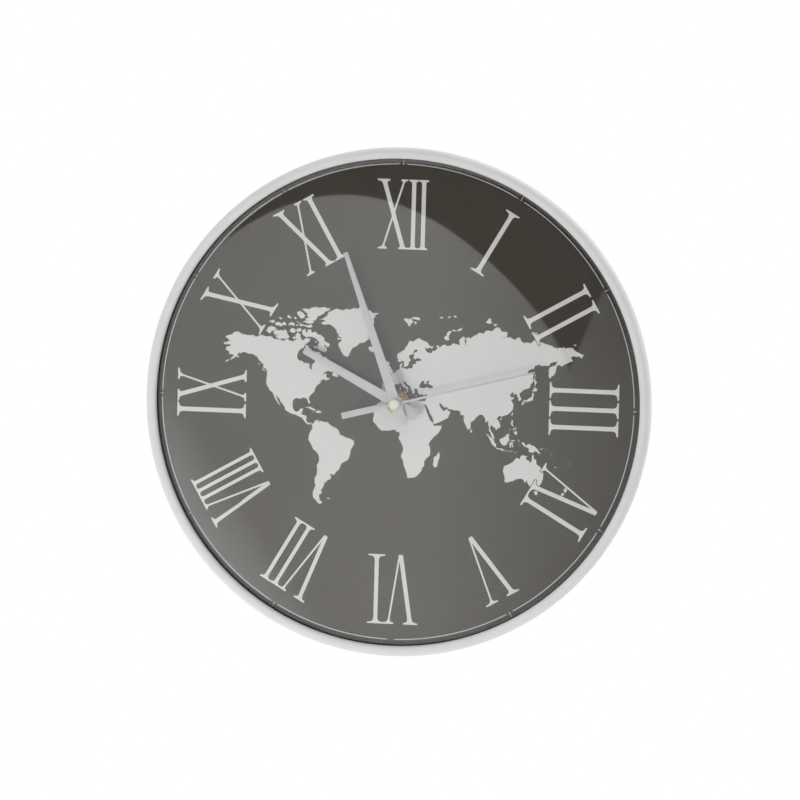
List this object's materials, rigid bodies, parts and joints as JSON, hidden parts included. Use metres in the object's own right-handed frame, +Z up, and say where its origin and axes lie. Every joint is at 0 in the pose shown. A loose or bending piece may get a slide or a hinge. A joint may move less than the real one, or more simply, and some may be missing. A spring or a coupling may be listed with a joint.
{
  "type": "wall clock",
  "caption": "Round wall clock with a white moulded ring, domed clear lens, dark world map dial, Roman numerals, silver hands and a quartz movement.",
  "frame": {"origin": "where the axis of the hands meets the wall", "axes": "+Y into the wall along the hands' axis, so the dial faces -Y; +Z up towards twelve; +X to the right as the dial is read"},
  "size_m": [0.3, 0.0456, 0.3],
  "materials": {
    "white_plastic": "satin white moulding",
    "clear_lens": "clear, polished",
    "dial_print": "matt dark grey print on card",
    "black_plastic": "moulded, fine grain",
    "wheel_plastic": "natural acetal",
    "rubber": "matt",
    "brass": "bright turned",
    "copper": "enamelled wire",
    "steel": "zinc plated",
    "silver_paint": "satin silver",
    "cream_plastic": "satin cream",
    "board": "green solder mask",
    "cell_jacket": "plain grey sleeve"
  },
  "bodies": {
    "housing": {"frame_ring": "white_plastic", "lens": "clear_lens", "dial": "dial_print", "back_plate": "black_plastic", "hanger": "steel", "gasket": "rubber", "washer": "brass", "hex_nut": "brass", "movement_case": "black_plastic", "movement_cover": "black_plastic", "aa_cell": "cell_jacket", "contact_positive": "steel", "contact_negative": "steel", "circuit_board": "board", "driver_chip": "black_plastic", "quartz_crystal": "steel", "stator": "steel", "coil_core": "steel", "coil_bobbin": "wheel_plastic", "coil_winding": "copper"},
    "second": {"seconds_wheel": "wheel_plastic", "second_hand": "silver_paint", "centre_cap": "cream_plastic"},
    "rotor": {"rotor_pinion": "wheel_plastic", "rotor_magnet": "steel"},
    "intermediate": {"intermediate_wheel": "wheel_plastic"},
    "third": {"third_wheel": "wheel_plastic"},
    "centre": {"centre_wheel": "wheel_plastic"},
    "minute": {"minute_pipe": "brass", "minute_hand": "silver_paint"},
    "setting": {"motion_wheel": "wheel_plastic", "setting_knob": "black_plastic"},
    "hour": {"hour_wheel": "wheel_plastic", "hour_hand": "silver_paint"}
  },
  "joints": [
    {"name": "second_hand_turn", "type": "hinge", "parent": "housing", "child": "second", "pos_m": [0, -0.03, 0], "axis": [0, 1, 0], "continuous": true},
    {"name": "rotor_turn", "type": "hinge", "parent": "housing", "child": "rotor", "pos_m": [-0.01534, -0.0083, -0.00994], "axis": [0, 1, 0], "continuous": true},
    {"name": "intermediate_turn", "type": "hinge", "parent": "housing", "child": "intermediate", "pos_m": [-0.01069, -0.0073, -0.00188], "axis": [0, 1, 0], "continuous": true},
    {"name": "third_turn", "type": "hinge", "parent": "housing", "child": "third", "pos_m": [0.00189, -0.0113, 0.01071], "axis": [0, 1, 0], "continuous": true},
    {"name": "centre_turn", "type": "hinge", "parent": "housing", "child": "centre", "pos_m": [0, -0.0123, 0], "axis": [0, 1, 0], "continuous": true},
    {"name": "minute_hand_turn", "type": "hinge", "parent": "housing", "child": "minute", "pos_m": [0, -0.025, 0], "axis": [0, 1, 0], "continuous": true},
    {"name": "setting_knob_turn", "type": "hinge", "parent": "housing", "child": "setting", "pos_m": [0.0118, -0.01, 0.00208], "axis": [0, 1, 0], "continuous": true},
    {"name": "hour_hand_turn", "type": "hinge", "parent": "housing", "child": "hour", "pos_m": [0, -0.025, 0], "axis": [0, 1, 0], "continuous": true}
  ],
  "couplings": [
    {"joint": "rotor_turn", "follows": "second_hand_turn", "ratio": 30},
    {"joint": "intermediate_turn", "follows": "second_hand_turn", "ratio": -6},
    {"joint": "third_turn", "follows": "second_hand_turn", "ratio": -0.13333},
    {"joint": "centre_turn", "follows": "second_hand_turn", "ratio": 0.016667},
    {"joint": "setting_knob_turn", "follows": "minute_hand_turn", "ratio": -0.33333},
    {"joint": "hour_hand_turn", "follows": "minute_hand_turn", "ratio": 0.083333}
  ]
}
